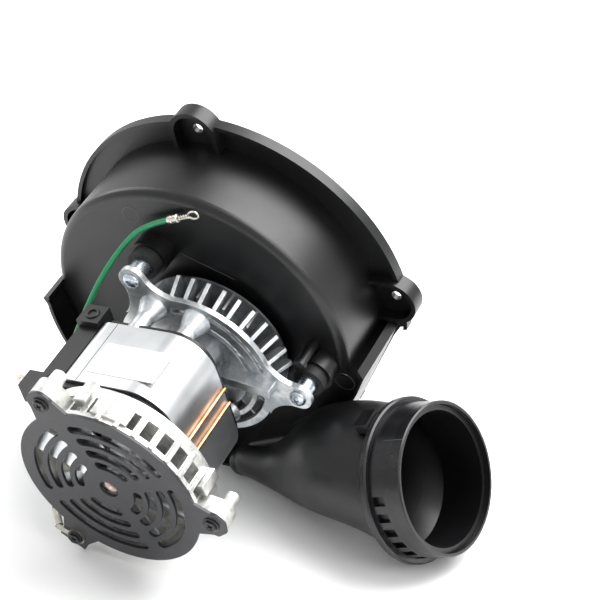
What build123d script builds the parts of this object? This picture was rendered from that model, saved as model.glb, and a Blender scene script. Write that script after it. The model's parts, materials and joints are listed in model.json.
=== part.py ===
from build123d import *
import os
from math import atan2, cos, degrees, pi, radians, sin, tan

# Draft-inducer blower. All sizes in millimetres.
# Working frame: Z is the shaft, towards the motor; X is the outlet, out of its mouth.
# The finished pieces are laid on the bench by bench_plane, at the end of the sizes.

# scroll housing
wall = 2.5
scroll_depth = 45.0
drum_x = -9.5
drum_y = 8.0
drum_radius = 84.0
face_round = 4.5
flange_x = -7.0
flange_y = 8.5
flange_radius = 97.0
flange_thickness = 3.0
lip_width = 2.2
lip_height = 6.0
ear_angles = (-19.5, 70.5, 149.0, 228.0)
ear_hole_circle = 91.5
ear_radius = 13.0
ear_height = 9.0
ear_hole_radius = 2.75
skirt_height = 14.0
skirt_width = 2.0
left_x = -86.0
left_y = 47.0
left_low_y = -26.0
heel_x = -49.0
heel_y = -66.0
toe_y = -76.3
throat_x = 68.5
throat_y = -35.0
throat_tip_y = -41.0
throat_low = (61.5, -47.5)
keel = (20.0, -84.0)
hump_corner = (57.6, -51.0)
hump_height = 60.0
shaft_hole_radius = 6.5
web_x = 58.5
web_width = 1.6
clip_post = (54.5, -13.7)
clip_radius = 2.6
clip_height = 15.0
clip_cap_radius = 3.6
clip_cap_height = 2.4
inner_face = scroll_depth - wall
horn_cut_y = -48.0
pipe_cut_x = 71.0
pipe_cut_z = 20.0

# outlet
outlet_y = -86.5
outlet_z = 69.0
outlet_radius = 36.0
outlet_start = 80.0
mouth_x = 107.0
collar_wall = 1.9
bead_x = 87.0
bead_radius = 41.3
bead_width = 4.2
collar_fit = 0.2
window_count = 6
window_first = 61.0
window_step = 13.0
window_turn = 7.5
window_length = 6.5
lug_length = 7.0
lug_width = 11.0
lug_height = 5.5
lug_rise = 1.3
# outlet horn: x, y, z and radius of each round section, nose first
horn = (
    (-27.0, -76.7, 58.2, 8.0),
    (-12.0, -76.0, 61.0, 11.0),
    (5.0, -80.0, 61.5, 16.0),
    (25.0, -77.5, 63.0, 24.0),
    (47.0, -74.5, 66.0, 30.0),
    (66.0, -78.5, 67.0, 33.5),
    (outlet_start, outlet_y, outlet_z, outlet_radius),
)

# back plate with its inlet
plate_thickness = 1.2
plate_radius = 81.0
plate_ledge = 4.5
plate_gap = 0.3
plate_screw_radius = 1.5
plate_screw_angles = (10.0, 100.0, 190.0, 260.0)
inlet_radius = 36.0
inlet_lip = 6.0

# impeller
impeller_radius = 62.0
blade_count = 28
blade_thickness = 1.0
ring_width = 15.0
impeller_low = 12.0
impeller_high = 38.0
disc_thickness = 1.6
hub_radius = 9.0
hub_length = 14.0

# shaft and bearings
shaft_radius = 4.0
shaft_low = 19.0
shaft_high = 154.6
seal_radius = 9.5
seal_thickness = 2.0
washer_radius = 7.0
washer_thickness = 0.8
front_bearing_z = 69.5
rear_bearing_z = 138.5
running_gap = 0.05
bearing_radius = 11.0
bearing_length = 7.0
cup_wall = 3.0

# motor, turned about the shaft
bracket_turn = -27.0
stator_turn = -18.0
bracket_z = 68.0
bracket_thickness = 3.0
bracket_radius = 43.2
bracket_centre = (0.8, 1.3)
bracket_rim = 2.4
bracket_dish_radius = 28.0
bracket_dish_depth = 1.2
mount_circle = 57.5
mount_ear_radius = 7.2
ear_flank = ((54.0, 7.2), (46.2, 10.6), (40.2, 18.6))
mount_hole_radius = 2.2
fin_count = 10
fin_step = 10.0
fin_first = 11.0
fin_length = 10.5
fin_width = 2.1
fin_flare = 5.6
fin_depth = 5.4
post_points = ((-13.0, 37.4), (10.5, 33.0), (10.5, -28.0), (-13.0, -29.0))
post_base_radius = 7.6
post_radius = 4.6
post_flare = 8.0
bolt_radius = 2.0
bolt_head_radius = 3.6
bolt_head_height = 2.2
rib_width = 5.2
rib_height = 8.0
rib_start = 16.0
rib_end = 46.5
rib_side = 5.8
# slots round the shaft: radius, first angle, span and width; an arc drawn in a turned plane turns twice
arc_slots = (
    (37.4, 82.0, 20.0, 2.8),
    (40.2, 17.0, 54.0, 2.4),
    (32.4, 18.0, 54.0, 3.0),
    (30.2, -70.0, 54.0, 4.4),
    (37.0, -72.0, 58.0, 4.2),
)

stator_low = 91.0
stator_length = 40.5
stator_half_width = 29.5
stator_top = 42.4
stator_bottom = -36.0
stator_round_right = 20.0
stator_round_left = 5.0
stator_bore = 19.0
air_gap = 0.4
end_ring_length = 3.0
wrap_thickness = 0.8
insulator_height = 3.4
insulator_inset = 1.2
insulator_gap = 0.3
coil_height = 4.2
coil_half_length = 20.0
coil_width = 13.0
label_length = 38.0
label_width = 20.0
label_x = 1.5
label_z = 114.5
label_thickness = 0.2
rod_radius = 0.95
rod_points = (1.2, 10.6)
strip_x = -42.0
strip_width = 8.0
strip_low = 82.0
strip_high = 135.5
strip_top = 40.5
strip_bottom = 20.0
block_height = 12.0
block_rise = 3.5
spade_length = 9.0
spade_width = 6.3
spade_thickness = 0.8
spade_points = (37.0, 24.5)

rear_z = 139.0
rear_radius = 47.0
rear_floor = 3.0
rear_window_floor = 26.0
rear_spoke_width = 11.0
rear_ring_wall = 3.0
rear_ring_height = 16.5
rear_ear_circle = 55.5
rear_ear_radius = 7.5
rear_window_count = 11
rear_window_first = 14.0
rear_window_step = 11.5
rear_window_width = 6.0
rear_window_edge = 7.0

guard_thickness = 1.5
guard_radius = 48.4
guard_hole_radius = 5.0
guard_slots = (38.7, 31.2, 23.7, 16.2)
guard_web_angle = 2.5
guard_screw_radius = 2.1
guard_head_radius = 4.2
guard_head_height = 2.0
guard_tab = 6.6
guard_slot_width = 4.7
guard_web = 8.0

# cooling fans on the shaft
front_fan_z = 49.5
front_fan_radius = 41.5
front_fan_height = 13.0
front_fan_blades = 18
rear_fan_z = 150.3
rear_fan_radius = 41.0
rear_fan_blades = 8
rear_fan_tilt = 24.0
fan_thickness = 1.2

# mounting stacks between housing and motor
boss_radius = 10.0
boss_height = 9.5
grommet_radius = 8.3
grommet_height = 5.5
sleeve_radius = 5.3
screw_radius = 1.9
head_radius = 4.4
head_height = 2.6

# ground lead: points from the ring terminal to the free end
lead_radius = 1.5
lead_points = (
    (-56.5, -20.0, 152.3),
    (-62.0, -14.5, 144.0),
    (-64.0, -4.0, 129.5),
    (-63.0, 13.0, 111.0),
    (-54.0, 31.0, 94.0),
    (-39.5, 46.5, 80.0),
    (-25.5, 59.5, 68.5),
    (-13.0, 68.0, 56.0),
    (3.0, 74.5, 49.3),
    (23.0, 74.5, 49.3),
)

guard_back = rear_z + rear_ring_height
guard_front = guard_back + guard_thickness
stator_high = stator_low + stator_length
bracket_top = bracket_z + bracket_thickness


def level(z, turn=0.0):
    """Plane across the shaft at height z, turned about the shaft."""
    return Plane.XY.rotated((0, 0, turn)).offset(z)


def around(radius, angle, z, turn=0.0):
    """Point at a radius and angle about the shaft."""
    return Vector(radius * cos(radians(angle + turn)), radius * sin(radians(angle + turn)), z)


def ear_point(angle):
    """Centre of a flange ear."""
    return (
        flange_x + ear_hole_circle * cos(radians(angle)),
        flange_y + ear_hole_circle * sin(radians(angle)),
    )


def lowest_on_circle(centre, radius, normal, up):
    """Lowest point of a circle for an up direction."""
    flat = up - normal * up.dot(normal)
    return centre - flat.normalized() * radius


def bench_plane():
    """Plane of the bench under the three places that touch it."""
    up = Vector(0.36, 0.87, -0.33)
    nose = Vector(*horn[0][:3])
    tab = Plane.XY.rotated((0, 0, bracket_turn + 240)).offset(guard_front)
    a = tab.from_local_coords(Vector(rear_ear_circle + guard_tab, rear_ear_radius, 0))
    for _ in range(30):
        b = lowest_on_circle(
            Vector(bead_x - bead_width / 2 + 0.8, outlet_y, outlet_z),
            bead_radius,
            Vector(1, 0, 0),
            up,
        )
        c = nose - up * horn[0][3]
        up = (b - a).cross(c - a).normalized()
        if up.Y < 0:
            up = up * -1
    heading = (Vector(1, 0, 0) - up * up.X).normalized()
    return Plane(origin=a, x_dir=heading, z_dir=up)


bench = bench_plane()

# outline of the scroll, seen along the shaft
scroll_outline = (
    (left_x, left_y),
    (left_x, left_low_y),
    (heel_x, heel_y),
    (heel_x + 1.0, toe_y),
    (-36.0, -80.8),
    (0.0, -87.5),
    keel,
    throat_low,
    (throat_x, throat_tip_y),
    (throat_x, throat_y),
    (30.0, throat_y),
    (0.0, left_y),
)
hump_outline = (
    hump_corner,
    (15.0, -60.5),
    (-12.0, -63.5),
    (-24.0, -67.0),
    (-31.0, -72.0),
    (-36.0, -78.5),
    (-34.0, -81.4),
    (0.0, -87.5),
    keel,
)
beyond_keel = (
    keel,
    (throat_low[0] + 0.7, throat_low[1]),
    (throat_x + 1.5, throat_tip_y - 1.0),
    (120.0, throat_tip_y - 1.0),
    (120.0, -120.0),
    (keel[0] - 8.0, -120.0),
)

with BuildSketch() as scroll_sketch:
    with Locations((drum_x, drum_y)):
        Circle(drum_radius)
    Polygon(*scroll_outline, align=None)
with BuildSketch() as scroll_room_sketch:
    offset(scroll_sketch.sketch, amount=-wall, kind=Kind.INTERSECTION)
with BuildSketch() as hump_sketch:
    Polygon(*hump_outline, align=None)
with BuildSketch() as hump_room_sketch:
    offset(hump_sketch.sketch, amount=-wall, kind=Kind.INTERSECTION)
with BuildSketch() as skirt_sketch:
    add(scroll_sketch.sketch)
    offset(scroll_sketch.sketch, amount=-skirt_width, kind=Kind.INTERSECTION, mode=Mode.SUBTRACT)
    with Locations((-70.0, -18.0)):
        Rectangle(68.0, 2 * (left_y + 18.0), mode=Mode.INTERSECT)

mount_angles = (0, 120, 240)
mount_spots = [around(mount_circle, angle, scroll_depth, bracket_turn) for angle in mount_angles]

with BuildPart() as drum_form:
    with Locations((drum_x, drum_y, 0)):
        Cylinder(drum_radius, scroll_depth, align=(Align.CENTER, Align.CENTER, Align.MIN))
    fillet(drum_form.edges().group_by(Axis.Z)[-1], face_round)

with BuildPart() as scroll_form:
    with BuildSketch() as scroll_block:
        Polygon(*scroll_outline, align=None)
    extrude(amount=scroll_depth)
    chamfer(scroll_form.edges().group_by(Axis.Z)[-1], 1.2)

with BuildPart() as hump_form:
    with BuildSketch() as hump_block:
        add(hump_sketch.sketch)
    extrude(amount=hump_height)
    fillet(hump_form.edges().group_by(Axis.Z)[-1], 2.5)

with BuildPart() as horn_form:
    for x, y, z, radius in horn:
        with BuildSketch(Plane.YZ.offset(x)) as section:
            with Locations((y, z)):
                Circle(radius)
    loft()
    with Locations(horn[0][:3]):
        Sphere(horn[0][3])

with BuildPart() as horn_room:
    for x, y, z, radius in horn:
        with BuildSketch(Plane.YZ.offset(x)) as bore_section:
            with Locations((y, z)):
                Circle(radius - wall)
    loft()

with BuildPart() as housing:
    add(drum_form.part)
    add(scroll_form.part)
    add(hump_form.part)
    add(horn_form.part)
    with BuildSketch(Plane.YZ.offset(outlet_start)) as pipe:
        with Locations((outlet_y, outlet_z)):
            Circle(outlet_radius)
    extrude(amount=mouth_x - 3.0 - outlet_start)
    with BuildSketch() as flange:
        with Locations((flange_x, flange_y)):
            Circle(flange_radius)
        for angle in ear_angles:
            with Locations(ear_point(angle)):
                Circle(ear_radius)
        Polygon(*beyond_keel, align=None, mode=Mode.SUBTRACT)
    extrude(amount=flange_thickness)
    with BuildSketch() as lip:
        with Locations((flange_x, flange_y)):
            Circle(flange_radius)
            Circle(flange_radius - lip_width, mode=Mode.SUBTRACT)
        Polygon(*beyond_keel, align=None, mode=Mode.SUBTRACT)
    extrude(amount=lip_height)
    with BuildSketch(Plane.XY.offset(flange_thickness)) as web:
        with Locations((web_x, throat_y + 3.0)):
            Rectangle(web_width, 10.0)
    extrude(amount=scroll_depth - flange_thickness - 1.0)
    with BuildSketch(Plane.XY.offset(scroll_depth - 0.5)) as clip:
        with Locations(clip_post):
            Circle(clip_radius)
    extrude(amount=clip_height + 0.5)
    with BuildSketch(Plane.XY.offset(scroll_depth + clip_height)) as clip_cap:
        with Locations(clip_post):
            Circle(clip_cap_radius)
    extrude(amount=clip_cap_height)
    with BuildSketch() as ears:
        for angle in ear_angles:
            with Locations(Location((*ear_point(angle), 0), (0, 0, angle))):
                Circle(ear_radius)
                with Locations((-6.0, 0)):
                    Rectangle(12.0, 2 * ear_radius)
    extrude(amount=ear_height)
    with BuildSketch(Plane.XY.offset(flange_thickness)) as pockets:
        for angle in ear_angles:
            with Locations(Location((*ear_point(angle), 0), (0, 0, angle))):
                Circle(ear_radius - wall)
                with Locations((-6.0, 0)):
                    Rectangle(12.0, 2 * (ear_radius - wall))
        offset(scroll_sketch.sketch, amount=0.01, mode=Mode.SUBTRACT)
    extrude(amount=ear_height, mode=Mode.SUBTRACT)
    with BuildSketch(Plane.XY.offset(scroll_depth - face_round)) as skirt:
        add(skirt_sketch.sketch)
    extrude(amount=face_round + skirt_height)
    with BuildSketch(Plane.XY.offset(scroll_depth - 0.5)) as bosses:
        for spot in mount_spots:
            with Locations((spot.X, spot.Y)):
                Circle(boss_radius)
    extrude(amount=boss_height + 0.5)
    # room inside
    with BuildSketch(Plane.XY.offset(plate_thickness + wall)) as room:
        add(scroll_room_sketch.sketch)
    extrude(amount=scroll_depth - plate_thickness - 2 * wall, mode=Mode.SUBTRACT)
    with BuildSketch(Plane.XY.offset(plate_thickness + wall)) as hump_room:
        add(hump_room_sketch.sketch)
    extrude(amount=hump_height - plate_thickness - 2 * wall, mode=Mode.SUBTRACT)
    with BuildSketch() as plate_room:
        with Locations((drum_x, drum_y)):
            Circle(plate_radius - plate_ledge)
    extrude(amount=plate_thickness + wall, mode=Mode.SUBTRACT)
    with BuildSketch() as plate_seat:
        with Locations((drum_x, drum_y)):
            Circle(plate_radius + plate_gap)
    extrude(amount=plate_thickness, mode=Mode.SUBTRACT)
    add(horn_room.part, mode=Mode.SUBTRACT)
    with BuildSketch(Plane.YZ.offset(outlet_start)) as bore:
        with Locations((outlet_y, outlet_z)):
            Circle(outlet_radius - wall)
    extrude(amount=mouth_x - outlet_start, mode=Mode.SUBTRACT)
    with BuildSketch() as holes:
        for angle in ear_angles:
            with Locations(ear_point(angle)):
                Circle(ear_hole_radius)
        Circle(shaft_hole_radius)
        for spot in mount_spots:
            with Locations((spot.X, spot.Y)):
                Circle(screw_radius)
    extrude(amount=scroll_depth + boss_height, mode=Mode.SUBTRACT)
    with BuildSketch() as ledge_holes:
        with Locations((drum_x, drum_y)):
            for angle in plate_screw_angles:
                with Locations(Location((0, 0, 0), (0, 0, angle))):
                    with Locations((plate_radius - plate_ledge / 2, 0)):
                        Circle(plate_screw_radius)
    extrude(amount=plate_thickness + wall, mode=Mode.SUBTRACT)
# the moulding as four simpler solids that meet face to face, so that its inside stays open to collision
pipe_room = Location((pipe_cut_x, horn_cut_y, pipe_cut_z)) * Box(200, 200, 200, align=(Align.MIN, Align.MAX, Align.MIN))
horn_side = Location((0, horn_cut_y, inner_face)) * Box(400, 400, 200, align=(Align.CENTER, Align.MAX, Align.MIN))
face_side = Location((0, 0, inner_face)) * Box(400, 400, 200, align=(Align.CENTER, Align.CENTER, Align.MIN))
moulding = housing.part
with BuildPart() as outlet_pipe:
    add(moulding)
    add(pipe_room, mode=Mode.INTERSECT)
outlet_pipe.part.label = "outlet_pipe"
with BuildPart() as horn_shell:
    add(moulding)
    add(horn_side, mode=Mode.INTERSECT)
    add(pipe_room, mode=Mode.SUBTRACT)
horn_shell.part.label = "horn_shell"
with BuildPart() as housing_face:
    add(moulding)
    add(face_side, mode=Mode.INTERSECT)
    add(horn_side, mode=Mode.SUBTRACT)
    add(pipe_room, mode=Mode.SUBTRACT)
housing_face.part.label = "housing_face"
with BuildPart() as housing:
    add(moulding)
    add(face_side, mode=Mode.SUBTRACT)
    add(pipe_room, mode=Mode.SUBTRACT)
housing.part.label = "housing"

with BuildPart() as outlet_collar:
    with BuildSketch(Plane.XZ) as collar_profile:
        with BuildLine():
            Polyline(
                (bead_x - bead_width / 2, outlet_radius + collar_fit),
                (bead_x - bead_width / 2, bead_radius - 0.8),
                (bead_x - bead_width / 2 + 0.8, bead_radius),
                (bead_x + bead_width / 2 - 0.8, bead_radius),
                (bead_x + bead_width / 2, bead_radius - 0.8),
                (bead_x + bead_width / 2, outlet_radius + collar_wall + 0.6),
                (mouth_x - 6.0, outlet_radius + collar_wall),
                (mouth_x - 0.6, outlet_radius + collar_fit + collar_wall),
                (mouth_x, outlet_radius + collar_fit + collar_wall - 0.6),
                (mouth_x, outlet_radius + collar_fit),
                close=True,
            )
        make_face()
    revolve(axis=Axis.X)
    window_start = bead_x + bead_width / 2 + 1.2
    for k in range(window_count):
        angle = window_first + window_step * k
        with Locations(Location((window_start + window_length / 2, 0, 0), (angle, 0, 0))):
            with Locations((0, outlet_radius + collar_wall / 2, 0)):
                Box(
                    window_length,
                    3 * collar_wall,
                    2 * outlet_radius * tan(radians(window_turn / 2)),
                    mode=Mode.SUBTRACT,
                )
    lug_x = bead_x - bead_width / 2 - lug_length / 2
    with Locations((lug_x, outlet_radius + collar_fit + lug_rise + lug_height / 2, 0)):
        Box(lug_length + 0.6, lug_height, lug_width)
outlet_collar.part = outlet_collar.part.moved(Location((0, outlet_y, outlet_z)))
outlet_collar.part.label = "outlet_collar"

with BuildPart() as inlet_plate:
    with BuildSketch() as plate:
        with Locations((drum_x, drum_y)):
            Circle(plate_radius)
        Circle(inlet_radius, mode=Mode.SUBTRACT)
    extrude(amount=plate_thickness)
    with BuildSketch() as inlet_rim:
        Circle(inlet_radius + plate_thickness)
        Circle(inlet_radius, mode=Mode.SUBTRACT)
    extrude(amount=inlet_lip)
    with BuildSketch() as plate_holes:
        with Locations((drum_x, drum_y)):
            for angle in plate_screw_angles:
                with Locations(Location((0, 0, 0), (0, 0, angle))):
                    with Locations((plate_radius - plate_ledge / 2, 0)):
                        Circle(plate_screw_radius)
    extrude(amount=plate_thickness, mode=Mode.SUBTRACT)
inlet_plate.part.label = "inlet_plate"

with BuildPart() as plate_screws:
    with BuildSketch() as plate_shanks:
        add(plate_holes.sketch)
    extrude(amount=plate_thickness + wall)
plate_screws.part.label = "plate_screws"

with BuildPart() as impeller_disc:
    with BuildSketch(Plane.XY.offset(impeller_high - disc_thickness)) as disc:
        Circle(impeller_radius)
    extrude(amount=disc_thickness)
    with BuildSketch(Plane.XY.offset(impeller_high - hub_length)) as hub:
        Circle(hub_radius)
    extrude(amount=hub_length)
    with BuildSketch(Plane.XY.offset(impeller_low)) as hub_bore:
        Circle(shaft_radius)
    extrude(amount=impeller_high, mode=Mode.SUBTRACT)
impeller_disc.part.label = "impeller_disc"

blade_root = impeller_radius - ring_width - 2.0
with BuildPart() as impeller_blades:
    with BuildSketch(Plane.XY.offset(impeller_low + disc_thickness)) as blades:
        for k in range(blade_count):
            turn = 360 / blade_count * k
            with BuildLine():
                ThreePointArc(
                    around(blade_root, turn, 0),
                    around((blade_root + impeller_radius) / 2, turn + 5.0, 0),
                    around(impeller_radius - 1.2, turn + 6.5, 0),
                )
            trace(line_width=blade_thickness)
    extrude(amount=impeller_high - impeller_low - 2 * disc_thickness)
impeller_blades.part.label = "impeller_blades"

with BuildPart() as impeller_ring:
    with BuildSketch(Plane.XY.offset(impeller_low)) as shroud:
        Circle(impeller_radius)
        Circle(impeller_radius - ring_width, mode=Mode.SUBTRACT)
    extrude(amount=disc_thickness)
impeller_ring.part.label = "impeller_ring"

with BuildPart() as motor_shaft:
    with BuildSketch(Plane.XY.offset(shaft_low)) as shaft_round:
        Circle(shaft_radius)
    extrude(amount=shaft_high - shaft_low)
    chamfer(motor_shaft.edges().group_by(Axis.Z)[-1], 0.5)
motor_shaft.part.label = "motor_shaft"

with BuildPart() as shaft_seal:
    with BuildSketch(Plane.XY.offset(scroll_depth)) as seal_ring:
        Circle(seal_radius)
        Circle(shaft_radius + running_gap, mode=Mode.SUBTRACT)
    extrude(amount=seal_thickness)
shaft_seal.part.label = "shaft_seal"

with BuildPart() as rotor_core:
    with BuildSketch(Plane.XY.offset(stator_low)) as core:
        Circle(stator_bore - air_gap)
    extrude(amount=stator_length)
    with BuildSketch(Plane.XY.offset(stator_low - end_ring_length)) as end_rings:
        Circle(stator_bore - air_gap - 1.0)
        Circle(stator_bore - 7.0, mode=Mode.SUBTRACT)
    extrude(amount=stator_length + 2 * end_ring_length)
    with BuildSketch(Plane.XY.offset(stator_low - end_ring_length)) as core_bore:
        Circle(shaft_radius)
    extrude(amount=stator_length + 2 * end_ring_length, mode=Mode.SUBTRACT)
rotor_core.part.label = "rotor_core"

with BuildPart() as thrust_washers:
    for z in (front_bearing_z + bearing_length, rear_bearing_z - washer_thickness):
        with BuildSketch(Plane.XY.offset(z)) as washer:
            Circle(washer_radius)
            Circle(shaft_radius, mode=Mode.SUBTRACT)
        extrude(amount=washer_thickness)
thrust_washers.part.label = "thrust_washers"

with BuildPart() as front_fan:
    with BuildSketch(Plane.XY.offset(front_fan_z)) as fan_disc:
        Circle(front_fan_radius)
    extrude(amount=fan_thickness)
    with BuildSketch(Plane.XY.offset(front_fan_z)) as fan_blades:
        for k in range(front_fan_blades):
            with Locations(Location((0, 0, 0), (0, 0, 360 / front_fan_blades * k))):
                with Locations(((front_fan_radius + 20.0) / 2, 0)):
                    Rectangle(front_fan_radius - 20.0, fan_thickness)
    extrude(amount=front_fan_height)
    with BuildSketch(Plane.XY.offset(front_fan_z)) as fan_hub:
        Circle(hub_radius)
    extrude(amount=front_fan_height)
    with BuildSketch(Plane.XY.offset(front_fan_z)) as fan_bore:
        Circle(shaft_radius)
    extrude(amount=front_fan_height, mode=Mode.SUBTRACT)
front_fan.part.label = "front_fan"

with BuildPart() as rear_fan:
    for k in range(rear_fan_blades):
        with Locations(Location((0, 0, rear_fan_z), (0, 0, 360 / rear_fan_blades * k))):
            with Locations(Location(((rear_fan_radius + 6.0) / 2, 0, 0), (rear_fan_tilt, 0, 0))):
                Box(rear_fan_radius - 6.0, 11.0, fan_thickness)
    with Locations((0, 0, rear_fan_z)):
        Cylinder(hub_radius, 4.0)
        Cylinder(shaft_radius, 12.0, mode=Mode.SUBTRACT)
rear_fan.part.label = "rear_fan"

with BuildPart() as bearings:
    for z in (front_bearing_z, rear_bearing_z):
        with BuildSketch(Plane.XY.offset(z)) as bearing_ring:
            Circle(bearing_radius)
            Circle(shaft_radius + running_gap, mode=Mode.SUBTRACT)
        extrude(amount=bearing_length)
bearings.part.label = "bearings"

cup_radius = bearing_radius + cup_wall
with BuildSketch() as ear_blend:
    with BuildLine():
        Line((mount_circle, -mount_ear_radius), ear_flank[0][:1] + (-ear_flank[0][1],))
        ThreePointArc(*[(x, -y) for x, y in ear_flank])
        Line((ear_flank[2][0], -ear_flank[2][1]), ear_flank[2])
        ThreePointArc(*ear_flank)
        Line(ear_flank[0], (mount_circle, mount_ear_radius))
        Line((mount_circle, mount_ear_radius), (mount_circle, -mount_ear_radius))
    make_face()

with BuildPart() as front_bracket:
    with BuildSketch(level(bracket_z, bracket_turn)) as bracket_face:
        with Locations(bracket_centre):
            Circle(bracket_radius)
        for angle in mount_angles:
            with Locations(Location((0, 0, 0), (0, 0, angle))):
                with Locations((mount_circle, 0)):
                    Circle(mount_ear_radius)
                add(ear_blend.sketch)
        for radius, start, span, width in arc_slots:
            SlotArc(CenterArc((0, 0), radius, start - bracket_turn, span), width, mode=Mode.SUBTRACT)
    extrude(amount=bracket_thickness)
    with BuildSketch(level(bracket_top - bracket_dish_depth, bracket_turn)) as dish:
        Circle(bracket_dish_radius)
    extrude(amount=bracket_dish_depth, mode=Mode.SUBTRACT)
    for k in range(fin_count):
        turn = bracket_turn + fin_first + fin_step * k
        with BuildSketch(Plane.XZ.rotated((0, 0, turn))) as fin:
            Polygon(
                (bracket_radius - fin_depth, bracket_z + 0.5),
                (bracket_radius + 1.0, bracket_z + 0.5),
                (bracket_radius + 2.0, bracket_z),
                (bracket_radius + 1.0 + fin_flare, bracket_z - fin_length + 1.0),
                (bracket_radius + 0.4 + fin_flare, bracket_z - fin_length),
                (bracket_radius + 1.6, bracket_z - fin_length),
                (bracket_radius - fin_depth + 4.4, bracket_z - fin_length + 3.0),
                align=None,
            )
        extrude(amount=fin_width / 2, both=True)
    with BuildSketch(level(bracket_top - bracket_dish_depth, bracket_turn)) as rib:
        with Locations(((rib_start + rib_end) / 2, rib_side)):
            Rectangle(rib_end - rib_start, rib_width)
    extrude(amount=rib_height + bracket_dish_depth)
    with BuildSketch(level(front_bearing_z - 2.5)) as cup:
        Circle(cup_radius)
    extrude(amount=bearing_length + 2.5)
    for x, y in post_points:
        base = level(bracket_top, stator_turn)
        with Locations(base.location * Location((x, y, 0))):
            Cone(
                post_base_radius,
                post_radius,
                post_flare,
                align=(Align.CENTER, Align.CENTER, Align.MIN),
            )
            Cylinder(
                post_radius,
                stator_low - bracket_top,
                align=(Align.CENTER, Align.CENTER, Align.MIN),
            )
    with BuildSketch(level(bracket_z, stator_turn)) as bolt_bores:
        with Locations(*post_points):
            Circle(bolt_radius)
    extrude(amount=stator_low - bracket_z, mode=Mode.SUBTRACT)
    with BuildSketch(level(bracket_z, bracket_turn)) as mount_bores:
        for angle in mount_angles:
            with Locations(Location((0, 0, 0), (0, 0, angle))):
                with Locations((mount_circle, 0)):
                    Circle(screw_radius)
    extrude(amount=bracket_thickness, mode=Mode.SUBTRACT)
    with BuildSketch(level(front_bearing_z)) as bearing_seat:
        Circle(bearing_radius)
    extrude(amount=rib_height + bearing_length, mode=Mode.SUBTRACT)
    with BuildSketch(level(bracket_z - fin_length)) as shaft_way:
        Circle(shaft_radius + 2.0)
    extrude(amount=fin_length + 20.0, mode=Mode.SUBTRACT)
front_bracket.part.label = "front_bracket"

with BuildSketch(level(0, stator_turn)) as stator_outline:
    with BuildLine():
        FilletPolyline(
            (-stator_half_width, stator_bottom),
            (stator_half_width, stator_bottom),
            (stator_half_width, stator_top),
            (-stator_half_width, stator_top),
            close=True,
            radius=(stator_round_left, stator_round_right, stator_round_right, stator_round_left),
        )
    make_face()

with BuildPart() as stator_core:
    with BuildSketch(level(stator_low, stator_turn)) as lamination:
        add(stator_outline.sketch_local)
        Circle(stator_bore, mode=Mode.SUBTRACT)
        with Locations(*post_points):
            Circle(bolt_radius, mode=Mode.SUBTRACT)
    extrude(amount=stator_length)
stator_core.part.label = "stator_core"

with BuildPart() as stator_wrap:
    with BuildSketch(level(stator_low, stator_turn)) as wrap_ring:
        add(stator_outline.sketch_local)
        offset(amount=wrap_thickness, kind=Kind.ARC)
        add(stator_outline.sketch_local, mode=Mode.SUBTRACT)
    extrude(amount=stator_length)
stator_wrap.part.label = "stator_wrap"

with BuildPart() as stator_label:
    with BuildSketch(level(label_z - label_width / 2, stator_turn)) as label_foot:
        with Locations((label_x, stator_top + wrap_thickness + label_thickness / 2)):
            Rectangle(min(label_length, 2 * stator_half_width), label_thickness)
    extrude(amount=label_width)
stator_label.part.label = "stator_label"

with BuildPart() as stator_coils:
    for z in (stator_low - coil_height, stator_high):
        with BuildSketch(level(z, stator_turn)) as coil:
            with Locations((-stator_half_width + 0.6 + coil_width / 2, 0)):
                RectangleRounded(coil_width, 2 * coil_half_length, 5.0)
            Circle(stator_bore + 1.0, mode=Mode.SUBTRACT)
        extrude(amount=coil_height)
stator_coils.part.label = "stator_coils"

with BuildPart() as stator_insulators:
    for z in (stator_low - insulator_height, stator_high):
        with BuildSketch(level(z, stator_turn)) as insulator:
            add(stator_outline.sketch_local)
            offset(amount=-insulator_inset, kind=Kind.INTERSECTION, mode=Mode.REPLACE)
            Circle(stator_bore + 1.0, mode=Mode.SUBTRACT)
            with Locations((-stator_half_width + coil_width / 2, 0)):
                Rectangle(coil_width + 2.0, 2 * (coil_half_length + insulator_gap), mode=Mode.SUBTRACT)
            with Locations(*post_points):
                Circle(post_radius + insulator_gap, mode=Mode.SUBTRACT)
        extrude(amount=insulator_height)
stator_insulators.part.label = "stator_insulators"

with BuildPart() as shading_rods:
    with BuildSketch(level(stator_low, stator_turn)) as rods:
        for y in rod_points:
            with Locations((stator_half_width + wrap_thickness + rod_radius, y)):
                Circle(rod_radius)
    extrude(amount=stator_length)
shading_rods.part.label = "shading_rods"

strip_right = -stator_half_width - wrap_thickness
with BuildPart() as terminal_strip:
    with BuildSketch(level(strip_low, stator_turn)) as strip:
        with Locations(((strip_x + strip_right) / 2, (strip_top + strip_bottom) / 2)):
            Rectangle(strip_right - strip_x, strip_top - strip_bottom)
    extrude(amount=strip_high - strip_low)
    with BuildSketch(level(strip_low, stator_turn)) as blocks:
        with Locations(((strip_x + strip_right) / 2 - 0.5, strip_top - 2.0)):
            Rectangle(strip_right - strip_x + 1.0, 4.0 + 2 * block_rise)
    extrude(amount=block_height)
    with BuildSketch(level(strip_high - block_height / 2, stator_turn)) as front_block:
        with Locations((strip_x, strip_top - 3.5)):
            Rectangle(block_height, 11.0)
    extrude(amount=block_height - 1.0)
terminal_strip.part.label = "terminal_strip"

with BuildPart() as spade_terminals:
    with BuildSketch(level(strip_high - 4.0 - spade_thickness / 2, stator_turn)) as spades:
        for x, y in ((strip_x - block_height / 2, spade_points[0]), (strip_x, spade_points[1])):
            with Locations((x - spade_length / 2, y)):
                Rectangle(spade_length, spade_width)
                with Locations((-1.5, 0)):
                    Circle(0.9, mode=Mode.SUBTRACT)
    extrude(amount=spade_thickness)
spade_terminals.part.label = "spade_terminals"

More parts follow.
